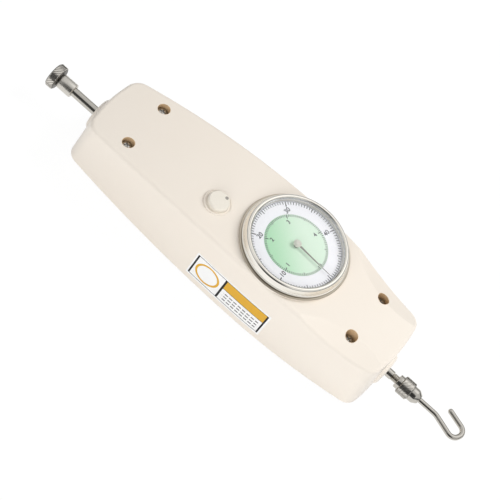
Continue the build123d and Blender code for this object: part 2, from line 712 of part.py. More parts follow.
def mode_sleeve():
    """Turning cup that the button slides in, with a key for the button's slot."""
    top = BUTTON_SURFACE + 0.4
    sleeve = turned([
        (1.55, 37.6), (SLEEVE_RADIUS, 37.6), (SLEEVE_RADIUS, BUTTON_SURFACE + 0.06), (6.88, BUTTON_SURFACE + 0.06),
        (6.88, top), (5.93, top), (5.93, 38.6), (1.55, 38.6),
    ], BUTTON_X, BUTTON_Y)
    return sleeve + block((BUTTON_X - 6.2, BUTTON_X - 5.4), (BUTTON_Y - 0.6, BUTTON_Y + 0.6), (38.6, 41.6))


def mode_cam():
    """Flanged eccentric under the sleeve; a quarter turn pushes the pawl's arm."""
    flange = tube(7.0, 1.55, 37.0, 37.6, BUTTON_X, BUTTON_Y)
    eccentric = post(CAM_RADIUS, 35.8, 37.0, BUTTON_X - CAM_THROW, BUTTON_Y)
    return flange + eccentric - post(1.55, 35, 38, BUTTON_X, BUTTON_Y)


def mode_button():
    """Cap on a stem, keyed to the sleeve so that it turns with it."""
    cap = turned([
        (0, 34.4), (1.5, 34.4), (1.5, 44.6), (4.8, 44.6), (4.8, 40.7), (5.85, 40.7), (5.85, CAP_TOP - 0.7),
        (5.15, CAP_TOP), (0, CAP_TOP + 0.15),
    ], BUTTON_X, BUTTON_Y)
    cap -= block((BUTTON_X - 6.5, BUTTON_X - 5.3), (BUTTON_Y - 0.7, BUTTON_Y + 0.7), (40, 43.7))
    return cap - post(0.92, CAP_TOP - 0.2, CAP_TOP + 1, *INDEX_PLACE)


def button_index():
    return post(0.9, CAP_TOP - 0.2, CAP_TOP + 0.15, *INDEX_PLACE)


def stem_clip():
    """Split washer that keeps the stem in its sleeve."""
    clip = tube(2.9, 1.5, 35.05, 35.75, BUTTON_X, BUTTON_Y)
    return clip - block((BUTTON_X, BUTTON_X + 5), (BUTTON_Y - 0.7, BUTTON_Y + 0.7), (34, 37))


def button_spring():
    return Pos(BUTTON_X, BUTTON_Y, 0) * coil(3.4, 0.6, 38.65, 44.55, 4)


def peak_pawl():
    """Lever between the cam and the ratchet wheel."""
    px, py = PAWL_PIVOT
    face_y = BUTTON_Y - CAM_RADIUS - 0.4
    tip_y = -RATCHET_RADIUS - 0.8
    lever = plate([
        (px - 2, py + 1.6), (px + 3, py + 1.2), (DIAL_X - 0.8, tip_y - 0.6), (DIAL_X, tip_y),
        (DIAL_X + 0.5, tip_y - 1.2), (px + 3, py - 1.6), (px - 2, py - 1.8), (BUTTON_X + 6, face_y - 1.4),
        (BUTTON_X - 3.5, face_y - 1.4), (BUTTON_X - 3.5, face_y), (BUTTON_X + 6, face_y),
    ], *PAWL_Z)
    return lever + post(2.2, *PAWL_Z, px, py) - post(1.25, 30, 40, px, py)


def pawl_post():
    """Shouldered stud on the upper plate that the pawl swings on."""
    top = UPPER_PLATE_Z + PLATE
    return turned([(0, UPPER_PLATE_Z), (0.9, UPPER_PLATE_Z), (0.9, top), (2.0, top), (2.0, 35.8), (1.2, 35.8),
                   (1.2, 36.85), (1.9, 36.85), (1.9, 37.25), (0, 37.25)], *PAWL_PIVOT)


PARTS = [
    rear_case, front_cover, cover_screws, stand_inserts, chassis, chassis_screws, push_bush, hook_bush,
    load_spring, lower_plate, upper_plate, plate_posts, movement_pillars, movement_screws, hairspring,
    pawl_post, dial_base, dial_base_screws, bezel_snap_ring, mode_collar,
    measuring_shaft, spring_collar, stop_collar, rack_carrier, rack, rack_screws, push_head, hook_adaptor, hook,
    counter_arbor, rack_pinion, counter_wheel,
    centre_arbor, centre_pinion, ratchet_wheel, pointer, pointer_cap,
    bezel, dial_plate, crystal,
    mode_sleeve, mode_cam, mode_button, button_index, stem_clip, button_spring,
    peak_pawl,
]

if __name__ == "__main__":
    os.makedirs("parts", exist_ok=True)
    for make in PARTS:
        export_step(make(), f"parts/{make.__name__}.step")
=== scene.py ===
import json
import math

import bmesh
import bpy
from mathutils import Matrix, Vector
from mathutils.bvhtree import BVHTree


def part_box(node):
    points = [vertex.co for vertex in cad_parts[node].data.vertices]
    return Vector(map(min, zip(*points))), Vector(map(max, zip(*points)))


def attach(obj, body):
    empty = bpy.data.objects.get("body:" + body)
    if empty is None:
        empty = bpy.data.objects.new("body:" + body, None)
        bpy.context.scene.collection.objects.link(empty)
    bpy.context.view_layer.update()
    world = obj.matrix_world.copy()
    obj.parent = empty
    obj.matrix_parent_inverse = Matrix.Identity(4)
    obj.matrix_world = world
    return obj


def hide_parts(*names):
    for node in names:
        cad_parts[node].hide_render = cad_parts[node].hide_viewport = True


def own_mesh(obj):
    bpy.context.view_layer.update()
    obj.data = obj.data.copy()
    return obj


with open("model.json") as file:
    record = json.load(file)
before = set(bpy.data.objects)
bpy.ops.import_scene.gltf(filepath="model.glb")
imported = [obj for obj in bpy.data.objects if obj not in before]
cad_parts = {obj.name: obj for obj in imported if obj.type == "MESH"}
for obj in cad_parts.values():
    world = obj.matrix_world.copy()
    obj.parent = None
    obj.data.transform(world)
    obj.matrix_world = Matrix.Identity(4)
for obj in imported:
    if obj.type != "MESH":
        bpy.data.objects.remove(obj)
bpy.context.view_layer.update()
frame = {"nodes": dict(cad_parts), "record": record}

MM = 0.001
X, Y, Z = range(3)


def lowest(node, axis):
    """Where a CAD node begins along an axis, in millimetres."""
    return round(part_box(node)[0][axis] / MM, 3)


def highest(node, axis):
    """Where a CAD node ends along an axis, in millimetres."""
    return round(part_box(node)[1][axis] / MM, 3)


def middle(node, axis):
    return (lowest(node, axis) + highest(node, axis)) / 2


# ---------------------------------------------------------------- places, in millimetres
DIAL_X = middle("bezel", X)
SHAFT_Z = middle("hook_adaptor", Z)
PLATE_TOP = highest("dial_plate", Z)
PUSH_FACE_X = lowest("push_head", X)
HOOK_ROOT_X = highest("hook_adaptor", X)
STAND_X, STAND_Y = 45.0, 15.0
SCREW_X, SCREW_Y = 73.5, 15.2
SCREW_SEATS = {-1: 28.8, 1: 32.8}    # height under the washers, push side and hook side
SCREW_TOPS = {-1: 35.5, 1: 37.6}     # height of the crowns of the heads

INK = PLATE_TOP + 0.02               # height of what is printed on the dial
DISC_RADIUS = 17.3                   # green disc that carries the inner scale
DIAL_TURN = -3.3                     # degrees, where the bezel was last set
UNIT_ANGLE = -7.2                    # degrees for one unit of the outer scale
INNER_UNIT_ANGLE = -70.6             # degrees for one unit of the inner scale


# ---------------------------------------------------------------- colour and shader maths
def srgb(red, green, blue):
    """A display colour, 0 to 255, as the linear colour a shader takes."""
    def linear(level):
        level /= 255
        return level / 12.92 if level <= 0.04045 else ((level + 0.055) / 1.055) ** 2.4
    return (linear(red), linear(green), linear(blue), 1.0)


def darker(colour, share):
    """A colour at a share of its strength."""
    return tuple(share * level for level in colour[:3]) + (1.0,)


class Value:
    """A shader socket that takes part in Python sums."""

    def __init__(self, graph, socket):
        self.graph = graph
        self.socket = socket

    def _math(self, operation, *values):
        sockets = dict(enumerate(values))
        return self.graph.node("ShaderNodeMath", {"operation": operation}, sockets)

    def __add__(self, other):
        return self._math("ADD", self, other)

    def __sub__(self, other):
        return self._math("SUBTRACT", self, other)

    def __rsub__(self, other):
        return self._math("SUBTRACT", other, self)

    def __mul__(self, other):
        return self._math("MULTIPLY", self, other)

    def __pow__(self, other):
        return self._math("POWER", self, other)

    def __gt__(self, other):
        return self._math("GREATER_THAN", self, other)

    def __lt__(self, other):
        return self._math("LESS_THAN", self, other)

    def __abs__(self):
        return self._math("ABSOLUTE", self)

    __radd__ = __add__
    __rmul__ = __mul__


def sum_of(values):
    return sum(values[1:], values[0])


class Graph:
    """A node tree that is written as sums and calls."""

    COLOUR_1, COLOUR_2, MIXED_COLOUR = 6, 7, 2      # sockets of a Mix node set to colour

    def __init__(self, tree):
        self.tree = tree

    def node(self, kind, settings, sockets, output=0):
        made = self.tree.nodes.new(kind)
        for key, value in settings.items():
            setattr(made, key, value)
        for key, value in sockets.items():
            if isinstance(value, Value):
                self.tree.links.new(value.socket, made.inputs[key])
            else:
                made.inputs[key].default_value = value
        return Value(self, made.outputs[output])

    def split(self, vector):
        return [self.node("ShaderNodeSeparateXYZ", {}, {0: vector}, axis) for axis in "XYZ"]

    def dot(self, vector, direction):
        sockets = {0: vector, 1: direction}
        return self.node("ShaderNodeVectorMath", {"operation": "DOT_PRODUCT"}, sockets, "Value")

    def spread(self, value, low, high, start=0.3, end=0.7):
        """Runs smoothly from low to high while a value goes from start to end."""
        sockets = {"Value": value, "From Min": start, "From Max": end, "To Min": low, "To Max": high}
        return self.node("ShaderNodeMapRange", {"interpolation_type": "SMOOTHSTEP"}, sockets)

    def mix(self, share, first, second):
        sockets = {"Factor": share, self.COLOUR_1: first, self.COLOUR_2: second}
        return self.node("ShaderNodeMix", {"data_type": "RGBA"}, sockets, self.MIXED_COLOUR)

    def rays(self, kind):
        """1 for one kind of ray, 0 for the others."""
        return self.node("ShaderNodeLightPath", {}, {}, kind)


class Finish(Graph):
    """A surface finish: one Principled shader and what feeds it."""

    def __init__(self, name, colour, roughness, metallic=0.0, **constants):
        self.material = bpy.data.materials.new(name)
        self.material.use_nodes = True
        super().__init__(self.material.node_tree)
        self.shader = self.tree.nodes["Principled BSDF"]
        self.shader.inputs["Base Color"].default_value = colour
        self.shader.inputs["Roughness"].default_value = roughness
        self.shader.inputs["Metallic"].default_value = metallic
        for socket, value in constants.items():
            self.shader.inputs[socket.replace("_", " ")].default_value = value

    def feed(self, socket, value):
        self.tree.links.new(value.socket, self.shader.inputs[socket])

    def stretched(self, x, y, z):
        """Position on the piece in millimetres, times a factor along each axis."""
        place = self.node("ShaderNodeTexCoord", {}, {}, "Object")
        sockets = {0: place, 1: Vector((x, y, z)) / MM}
        return self.node("ShaderNodeVectorMath", {"operation": "MULTIPLY"}, sockets)

    def axes(self):
        """Position on the piece in millimetres, one value for each axis."""
        return self.split(self.stretched(1, 1, 1))

    def noise(self, where, detail=3.0, roughness=0.5):
        sockets = {"Vector": where, "Scale": 1.0, "Detail": detail, "Roughness": roughness}
        return self.node("ShaderNodeTexNoise", {}, sockets)

    def bump(self, height, distance):
        """Relief of a depth in millimetres."""
        sockets = {"Height": height, "Distance": distance * MM, "Strength": 1.0}
        self.feed("Normal", self.node("ShaderNodeBump", {}, sockets))


# ---------------------------------------------------------------- finishes
def casing_enamel():
    """Cream baked enamel with a faint orange peel, and painted shade, a darker tan, in the screw
    pockets.
    """
    pocket_radius, blur = 3.5, 0.16
    enamel = Finish("casing_enamel", srgb(244, 235, 223), 0.42, Coat_Roughness=0.28, Coat_IOR=1.45)
    cloud = enamel.noise(enamel.stretched(0.02, 0.02, 0.02))
    peel = enamel.noise(enamel.stretched(1.1, 1.1, 1.1), detail=2.0)
    x, y, z = enamel.axes()
    from_screw = ((abs(x) - SCREW_X) ** 2 + (abs(y) - SCREW_Y) ** 2) ** 0.5
    painted_pocket_shade = enamel.spread(from_screw, 1.0, 0.0, pocket_radius - blur, pocket_radius)
    coat = enamel.mix(cloud, srgb(243, 233, 220), srgb(246, 238, 227))
    # painted shade: the screw pockets are mixed towards a darker tan
    enamel.feed("Base Color", enamel.mix(painted_pocket_shade, coat, srgb(224, 196, 158)))
    enamel.feed("Roughness", enamel.spread(peel, 0.38, 0.46))
    enamel.feed("Coat Weight", enamel.spread(cloud, 0.18, 0.26))
    enamel.bump(peel, 0.012)
    return enamel


def button_enamel():
    """A coat like the casing's, a little greyer and finer in grain."""
    enamel = Finish("button_enamel", srgb(228, 229, 218), 0.40)
    peel = enamel.noise(enamel.stretched(1.6, 1.6, 1.6), detail=2.0)
    enamel.feed("Base Color", enamel.mix(peel, srgb(236, 230, 217), srgb(242, 235, 223)))
    enamel.feed("Roughness", enamel.spread(peel, 0.36, 0.44))
    enamel.bump(peel, 0.01)
    return enamel


def turned_steel(name, colour, low, high):
    """Steel turned about the shaft: fine rings across X."""
    steel = Finish(name, colour, low, 1.0)
    rings = steel.noise(steel.stretched(9.0, 0.15, 0.15), detail=4.0, roughness=0.65)
    stain = steel.noise(steel.stretched(0.3, 0.3, 0.3))
    steel.feed("Roughness", steel.spread(rings, low, high) + steel.spread(stain, -0.02, 0.04))
    steel.feed("Base Color", steel.mix(stain, colour, darker(colour, 0.9)))
    steel.bump(rings, 0.004)
    return steel


def knurled_steel(name, colour, radius, depth):
    """Turned steel with a knurl; painted shade darkens its grooves below the crests."""
    steel = Finish(name, colour, 0.24, 1.0)
    x, y, z = steel.axes()
    from_axis = (y ** 2 + (z - SHAFT_Z) ** 2) ** 0.5
    crest = steel.spread(from_axis, 0.0, 1.0, radius - depth, radius - 0.2 * depth)
    cloud = steel.noise(steel.stretched(0.8, 0.8, 0.8))
    polish = steel.spread(crest, 0.42, 0.18, 0.0, 1.0)
    # painted shade: the grooves take a fifth of the steel's colour, the crests all of it
    steel.feed("Base Color", steel.mix(crest, darker(colour, 0.20), colour))
    steel.feed("Roughness", polish + steel.spread(cloud, -0.03, 0.05))
    return steel


def ring_turned(name, colour, low, high):
    """Metal turned about the dial's axis: fine circles, and a duller bore."""
    bore_radius, bore_edge = 25.2, 25.5
    metal = Finish(name, colour, low, 1.0)
    x, y, z = metal.axes()
    radius = ((x - DIAL_X) ** 2 + y ** 2) ** 0.5
    sockets = {"X": radius * 7.0, "Y": z * 7.0}
    rings = metal.noise(metal.node("ShaderNodeCombineXYZ", {}, sockets))
    cloud = metal.noise(metal.stretched(0.15, 0.15, 0.15))
    bore = metal.spread(radius, 0.4, 0.0, bore_radius, bore_edge)
    metal.feed("Roughness", metal.spread(rings, low, high) + bore)
    metal.feed("Base Color", metal.mix(cloud, colour, darker(colour, 0.92)))
    metal.bump(rings, 0.004)
    return metal


def milled(name, colour, low, high, scale=1.2, metallic=1.0):
    """Sheet or cut metal with a faint grain along X and a light stain."""
    metal = Finish(name, colour, low, metallic)
    grain = metal.noise(metal.stretched(0.4 * scale, 6.0 * scale, 6.0 * scale), detail=4.0)
    cloud = metal.noise(metal.stretched(0.12, 0.12, 0.12))
    metal.feed("Roughness", metal.spread(grain, low, high))
    metal.feed("Base Color", metal.mix(cloud, colour, darker(colour, 0.86)))
    metal.bump(grain, 0.006)
    return metal


def dial_paint():
    """White dial with painted shade at its rim, a pale green disc painted paler to one side as a painted
    highlight, and a fine edge circle.
    """
    white, rim_shade, ink = srgb(250, 249, 254), srgb(238, 239, 246), srgb(60, 62, 74)
    green, speckled, highlit_green = srgb(170, 221, 179), srgb(178, 225, 186), srgb(222, 243, 223)
    edge_circle, blur = 24.55, 0.1
    paint = Finish("dial_paint", white, 0.5, Specular_IOR_Level=0.2)
    x, y, z = paint.axes()
    radius = ((x - DIAL_X) ** 2 + y ** 2) ** 0.5
    speck = paint.noise(paint.stretched(4.0, 4.0, 4.0))
    # painted highlight: the green disc turns paler towards one side, as if lit there
    painted_highlight_share = paint.spread(x - DIAL_X + 1.2 * y, 0.0, 1.0, -26.0, 12.0)
    disc = paint.mix(painted_highlight_share, paint.mix(speck, green, speckled), highlit_green)
    # painted shade: the white darkens towards the rim, under the bezel
    ground = paint.mix(paint.spread(radius, 0.0, 1.0, 23.0, 25.0), white, rim_shade)
    beyond = paint.spread(radius, 0.0, 1.0, DISC_RADIUS - blur, DISC_RADIUS + blur)
    circle = paint.spread(abs(radius - edge_circle), 1.0, 0.0, 0.08, 0.16)
    paint.feed("Base Color", paint.mix(circle, paint.mix(beyond, disc, ground), ink))
    paint.feed("Roughness", paint.spread(speck, 0.45, 0.55))
    return paint


def print_black():
    """Screen-printed ink, slightly uneven."""
    ink = Finish("print_black", srgb(34, 36, 44), 0.55, Specular_IOR_Level=0.2)
    speck = ink.noise(ink.stretched(6.0, 6.0, 6.0))
    ink.feed("Base Color", ink.mix(speck, srgb(24, 26, 34), srgb(46, 48, 56)))
    return ink


def clear_crystal():
    """Thin clear sheet: only the light that its polished face turns back is seen on it."""
    clear = Finish("clear_crystal", srgb(252, 253, 253), 0.06, 1.0)
    smear = clear.noise(clear.stretched(0.09, 0.09, 0.09))
    glance = clear.node("ShaderNodeFresnel", {}, {"IOR": 1.49})
    clear.feed("Roughness", clear.spread(smear, 0.03, 0.06))
    clear.feed("Alpha", glance * 0.8)
    return clear


def moulded(name, colour, roughness):
    """Moulded plastic with a fine grain."""
    plastic = Finish(name, colour, roughness)
    grain = plastic.noise(plastic.stretched(3.0, 3.0, 3.0))
    plastic.feed("Base Color", plastic.mix(grain, colour, darker(colour, 0.82)))
    plastic.feed("Roughness", plastic.spread(grain, roughness - 0.04, roughness + 0.06))
    plastic.bump(grain, 0.006)
    return plastic


def record_sticker_finish():
    """White vinyl with a ruled frame, an amber band, dashed lines and a ring for a stamp."""
    black, amber, white = srgb(10, 9, 10), srgb(226, 174, 52), srgb(252, 252, 252)
    left, right, bottom, top, divider = -9.9, 37.1, 6.8, 25.2, 9.3
    end_bar, edge_bar, half_divider, half_rule = 1.0, 0.38, 0.6, 0.2
    band_edge = top - 7.8
    ring_x, ring_z, ring_radius, half_ring = -0.4, 15.9, 6.9, 0.65
    dash_pitch, dash_gap, half_dash, dash_heights = 2.9, 0.8, 0.42, (9.5, 12.0, 14.5)
    dashes_left, dashes_right = divider + 2.2, right - 2.6

    vinyl = Finish("record_sticker_vinyl", white, 0.4, Specular_IOR_Level=0.2)
    x, y, z = vinyl.axes()
    inside = (x > left) * (x < right) * (z > bottom) * (z < top)
    band = (x > divider) * (z > band_edge) * inside
    from_ring = ((x - ring_x) ** 2 + (z - ring_z) ** 2) ** 0.5
    ring = abs(from_ring - ring_radius) < half_ring

    bars = (x < left + end_bar) + (x > right - end_bar) + (abs(x - divider) < half_divider)
    edges = (z < bottom + edge_bar) + (z > top - edge_bar)
    rule = (abs(z - band_edge) < half_rule) * (x > divider)
    frame_lines = bars * inside + edges * inside + rule * inside

    along = vinyl.node("ShaderNodeMath", {"operation": "FLOORED_MODULO"}, {0: x, 1: dash_pitch})
    rows = sum_of([abs(z - height) < half_dash for height in dash_heights])
    dashes = rows * (x > dashes_left) * (x < dashes_right) * (along > dash_gap)

    paper = vinyl.mix(band, white, amber)
    paper = vinyl.mix(ring, paper, amber)
    paper = vinyl.mix(dashes, paper, srgb(96, 96, 100))
    paper = vinyl.mix(vinyl.spread(frame_lines, 0.0, 1.0, 0.1, 0.9), paper, black)
    speck = vinyl.noise(vinyl.stretched(2.0, 2.0, 2.0))
    vinyl.feed("Base Color", paper)
    vinyl.feed("Roughness", vinyl.spread(speck, 0.34, 0.46))
    return vinyl


enamel = casing_enamel()
shaft_steel = turned_steel("shaft_steel", srgb(200, 196, 188), 0.10, 0.20)
print_ink = print_black()
FINISHES = {
    "casing_enamel": enamel,
    "screw_steel": milled("screw_steel", srgb(196, 194, 190), 0.24, 0.38),
    "insert_brass": milled("insert_brass", srgb(214, 184, 120), 0.26, 0.40),
    "chassis_steel": milled("chassis_steel", srgb(186, 188, 190), 0.34, 0.50),
    "bush_bronze": milled("bush_bronze", srgb(176, 132, 84), 0.38, 0.54),
    "spring_steel": milled("spring_steel", srgb(172, 172, 176), 0.20, 0.32),
    "brass_plate": milled("brass_plate", srgb(216, 188, 124), 0.28, 0.44),
    "gear_brass": milled("gear_brass", srgb(222, 190, 118), 0.22, 0.34),
    "hardened_steel": milled("hardened_steel", srgb(168, 168, 172), 0.20, 0.34),
    "dial_base_bronze": ring_turned("dial_base_bronze", srgb(196, 186, 170), 0.30, 0.42),
    "bezel_chrome": ring_turned("bezel_chrome", srgb(246, 242, 233), 0.10, 0.20),
    "dial_paint": dial_paint(),
    "pointer_finish": milled("pointer_finish", srgb(232, 228, 218), 0.40, 0.52, 3.0, 0.35),
    "crystal_clear": clear_crystal(),
    "button_enamel": button_enamel(),
    "index_black": moulded("index_black", srgb(166, 162, 154), 0.5),
    "shaft_steel": shaft_steel,
}
PAINTED_WITH_THE_CASING = ("mode_collar", "mode_sleeve")

for entry in frame["record"]["subparts"]:
    node = entry["node"]
    painted = node in PAINTED_WITH_THE_CASING
    finish = enamel if painted else FINISHES[entry["material_slot"]]
    mesh = frame["nodes"][node].data
    mesh.materials.clear()
    mesh.materials.append(finish.material)


# ---------------------------------------------------------------- making pieces
def piece(name, shape, finish, body, stands_for=(), smooth=40):
    """Turns a bmesh in millimetres into a finished piece that rides on a body."""
    bmesh.ops.remove_doubles(shape, verts=shape.verts, dist=1e-4)
    bmesh.ops.recalc_face_normals(shape, faces=shape.faces)
    bmesh.ops.scale(shape, vec=(MM, MM, MM), verts=shape.verts)
    mesh = bpy.data.meshes.new(name)
    shape.to_mesh(mesh)
    shape.free()
    for face in mesh.polygons:
        face.use_smooth = True
    mesh.set_sharp_from_angle(angle=math.radians(smooth))
    mesh.materials.append(finish.material)
    made = bpy.data.objects.new(name, mesh)
    bpy.context.scene.collection.objects.link(made)
    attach(made, body)
    if stands_for:
        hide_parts(*stands_for)
    return made


def spun(points, steps, centre=(DIAL_X, 0, 0), axis=(0, 0, 1)):
    """A profile of (radius, height) points turned once about an axis."""
    shape = bmesh.new()
    out = Vector((1, 0, 0)) if axis[2] else Vector((0, 0, 1))
    verts = [shape.verts.new(Vector(centre) + out * r + Vector(axis) * h) for r, h in points]
    edges = [shape.edges.new(pair) for pair in zip(verts, verts[1:])]
    bmesh.ops.spin(shape, geom=verts + edges, cent=centre, axis=axis, angle=2 * math.pi, steps=steps,
                   use_merge=True, dvec=(0, 0, 0))
    return shape


def shaft_turned(points, steps):
    """A profile of (radius, place along X) points turned about the shaft's axis."""
    return spun(points, steps, (0, 0, SHAFT_Z), (1, 0, 0))


def merged(shape, other):
    """Adds one bmesh to another."""
    mesh = bpy.data.meshes.new("part")
    other.to_mesh(mesh)
    other.free()
    shape.from_mesh(mesh)
    bpy.data.meshes.remove(mesh)


def hollowed(shape, cutter):
    """Takes one closed bmesh out of another."""
    pair = []
    for source in (shape, cutter):
        mesh = bpy.data.meshes.new("blank")
        bmesh.ops.remove_doubles(source, verts=source.verts, dist=1e-4)
        bmesh.ops.recalc_face_normals(source, faces=source.faces)
        source.to_mesh(mesh)
        source.free()
        made = bpy.data.objects.new("blank", mesh)
        bpy.context.scene.collection.objects.link(made)
        pair.append(made)
    trim = pair[0].modifiers.new("recess", "BOOLEAN")
    trim.operation, trim.solver, trim.object = "DIFFERENCE", "EXACT", pair[1]
    bpy.context.view_layer.update()
    depsgraph = bpy.context.evaluated_depsgraph_get()
    mesh = bpy.data.meshes.new_from_object(pair[0].evaluated_get(depsgraph))
    result = bmesh.new()
    result.from_mesh(mesh)
    bpy.data.meshes.remove(mesh)
    for made in pair:
        bpy.data.meshes.remove(made.data)
    return result


# ---------------------------------------------------------------- dial
def flat_bar(shape, start, end, width, angle):
    """A thin printed stroke along a radius of the dial."""
    turn = Matrix.Rotation(math.radians(angle), 4, "Z")
    centre = Vector((DIAL_X, 0, INK)) + turn @ Vector(((start + end) / 2, 0, 0))
    size = Matrix.Diagonal((end - start, width, 1, 1))
    bmesh.ops.create_grid(shape, x_segments=1, y_segments=1, size=0.5,
                          matrix=Matrix.Translation(centre) @ turn @ size)


def scale_marks(name, count, step_angle, end, numbered, middling, small):
    """A scale's marks, every twentieth numbered; each kind is an inner radius and a width."""
    shape = bmesh.new()
    for step in range(count):
        start, width = numbered if step % 20 == 0 else middling if step % 10 == 0 else small
        flat_bar(shape, start, end, width, DIAL_TURN + step_angle * step)
    piece(name, shape, print_ink, "bezel_body")


def numerals(name, labels, step_angle, radius, size):
    """Upright figures for a gauge that hangs from its push head."""
    boldness = 0.022
    upright = Matrix.Rotation(math.pi / 2, 4, "Z")
    figures = bmesh.new()
    for index, label in enumerate(labels, start=1):
        curve = bpy.data.curves.new(name, "FONT")
        curve.body = label
        curve.size = size * MM
        curve.offset = boldness * size * MM
        curve.align_x = "CENTER"
        curve.align_y = "CENTER"
        holder = bpy.data.objects.new(name, curve)
        bpy.context.scene.collection.objects.link(holder)
        bpy.context.view_layer.update()
        depsgraph = bpy.context.evaluated_depsgraph_get()
        mesh = bpy.data.meshes.new_from_object(holder.evaluated_get(depsgraph))
        angle = math.radians(DIAL_TURN + step_angle * index)
        spot = Vector((DIAL_X + radius * math.cos(angle), radius * math.sin(angle), INK))
        mesh.transform(Matrix.Translation(spot) @ upright @ Matrix.Scale(1 / MM, 4))
        figures.from_mesh(mesh)
        bpy.data.objects.remove(holder)
        bpy.data.meshes.remove(mesh)
    piece(name, figures, print_ink, "bezel_body")


def dial_face():
    """Printed plate that fills the bezel's bore."""
    hole, edge, under = 1.6, 25.0, lowest("dial_plate", Z)
    profile = [(hole, under), (edge, under), (edge, PLATE_TOP), (hole, PLATE_TOP), (hole, under)]
    piece("dial_face", spun(profile, 128), FINISHES["dial_paint"], "bezel_body",
          ["dial_plate"])


def domed_crystal():
    """Clear cover with a slight dome, seated in the bezel's bore."""
    radius, top, dome, thickness, rings = 25.08, 50.6, 0.55, 1.1, 14
    above = [(radius * i / rings, top - dome * (i / rings) ** 2) for i in range(rings + 1)]
    below = [(r * 0.996, height - thickness) for r, height in reversed(above)]
    cover = piece("domed_crystal", spun(above + below, 128), FINISHES["crystal_clear"],
                  "bezel_body", ["crystal"])
    cover.visible_shadow = False


def bezel_ring():
    """The bezel with a fine coin edge on its flared grip."""
    foot = [(23.68, 45.2), (24.9, 45.2), (24.9, 45.7), (28.5, 45.7), (28.85, 45.85), (28.85, 46.15)]
    grip = [(28.45, 46.3), (28.4, 46.5), (28.25, 47.2), (28.05, 47.9), (27.85, 48.6), (27.7, 48.8)]
    rolled_top = [(27.6, 49.3), (27.35, 49.75), (26.95, 50.05), (26.5, 50.2), (26.1, 50.22),
                  (25.75, 50.12), (25.45, 49.9), (25.22, 49.6), (25.12, 49.3)]
    bore = [(25.12, 46.72), (25.12, 46.28), (23.68, 46.28), (23.68, 46.08), (24.3, 46.08),
            (24.3, 45.62), (23.68, 45.62), (23.68, 45.2)]
    steps, groove = 480, 0.16
    grip_low, grip_high, grip_inside = 46.4, 48.7, 27.5
    shape = spun(foot + grip + rolled_top + bore, steps)
    for vert in shape.verts:
        flat = Vector((vert.co.x - DIAL_X, vert.co.y))
        if grip_low < vert.co.z < grip_high and flat.length > grip_inside:
            step = round(math.atan2(flat.y, flat.x) / (2 * math.pi) * steps)
            if step % 2:
                flat *= 1 - groove / flat.length
                vert.co.x, vert.co.y = DIAL_X + flat.x, flat.y
    piece("bezel_ring", shape, FINISHES["bezel_chrome"], "bezel_body", ["bezel"],
          smooth=25)


# ---------------------------------------------------------------- shaft line
KNURL_STEPS = 64


def knurl(shape, start, end, radius, rows, depth):
    """Sinks every other point of a turned band, which leaves diamonds."""
    margin = 0.05
    start, end = start - margin, end + margin
    for vert in shape.verts:
        x, arm = vert.co.x, Vector((vert.co.y, vert.co.z - SHAFT_Z))
        if not start < x < end or abs(arm.length - radius) > margin:
            continue
        row = round((x - start) / (end - start) * rows)
        step = round(math.atan2(arm.x, arm.y) / (2 * math.pi) * KNURL_STEPS)
        if (row + step) % 2:
            arm *= 1 - depth / arm.length
            vert.co.y, vert.co.z = arm.x, SHAFT_Z + arm.y


def band(start, end, radius, rows):
    """Profile points along a knurled band."""
    return [(radius, start + (end - start) * i / rows) for i in range(rows + 1)]


def push_knob():
    """Knurled push button."""
    face = PUSH_FACE_X
    rows, radius, depth = 5, 6.9, 0.5
    start, end = face + 0.8, face + 4.3
    front = [(0, face), (5.6, face), (6.1, face + 0.12), (6.6, face + 0.6)]
    neck = [(6.6, face + 4.5), (5.9, face + 4.95), (3.5, face + 5.05), (3.35, face + 5.2),
            (3.35, face + 5.6), (0, face + 5.6)]
    shape = shaft_turned(front + band(start, end, radius, rows) + neck, KNURL_STEPS)
    knurl(shape, start, end, radius, rows, depth)
    steel = knurled_steel("push_knurl", srgb(242, 237, 228), radius, depth)
    piece("push_knob", shape, steel, "shaft", ["push_head"], smooth=20)


def push_sleeve():
    """Brushed sleeve that carries the push button on the shaft."""
    face = PUSH_FACE_X
    profile = [
        (0, face + 5.5), (3.5, face + 5.5), (3.9, face + 5.62), (4.0, face + 5.9), (4.0, face + 13.7),
        (3.9, face + 14.0), (3.6, face + 14.2), (2.6, face + 14.2), (2.6, face + 13.0), (0, face + 13.0),
    ]
    brushed = turned_steel("brushed_sleeve", srgb(218, 214, 206), 0.26, 0.38)
    piece("push_sleeve", shaft_turned(profile, 84), brushed, "shaft", ["push_head"])


def coupling_grip():
    """Knurled middle of the hook's coupling."""
    root = HOOK_ROOT_X
    rows, radius, depth = 10, 5.1, 0.42
    start, end = root - 12.1, root - 6.1
    near = [(1.97, root - 12.6), (4.2, root - 12.5), (4.7, root - 12.35)]
    far = [(4.7, root - 5.85), (4.3, root - 5.7), (1.97, root - 5.6)]
    shape = shaft_turned(near + band(start, end, radius, rows) + far, KNURL_STEPS)
    knurl(shape, start, end, radius, rows, depth)
    steel = knurled_steel("coupling_knurl", srgb(240, 235, 226), radius, depth)
    piece("coupling_grip", shape, steel, "shaft", ["hook_adaptor"], smooth=20)


def coupling_collars():
    """Turned collar and coned nose at the ends of the coupling."""
    root = HOOK_ROOT_X
    collar = [(1.97, root - 15), (3.4, root - 15), (3.75, root - 14.85), (3.85, root - 14.6),
              (3.85, root - 12.4), (1.97, root - 12.4)]
    nose = [(1.52, root - 5.8), (4.05, root - 5.8), (4.1, root - 5.5), (4.1, root - 2.9),
            (3.95, root - 2.4), (3.5, root - 1.6), (2.8, root - 0.5), (2.5, root - 0.1),
            (2.3, root), (1.52, root), (1.52, root - 3)]
    shape = bmesh.new()
    for profile in (collar, nose):
        merged(shape, shaft_turned(profile, 72))
    piece("coupling_collars", shape, shaft_steel, "shaft", ["hook_adaptor"], smooth=30)


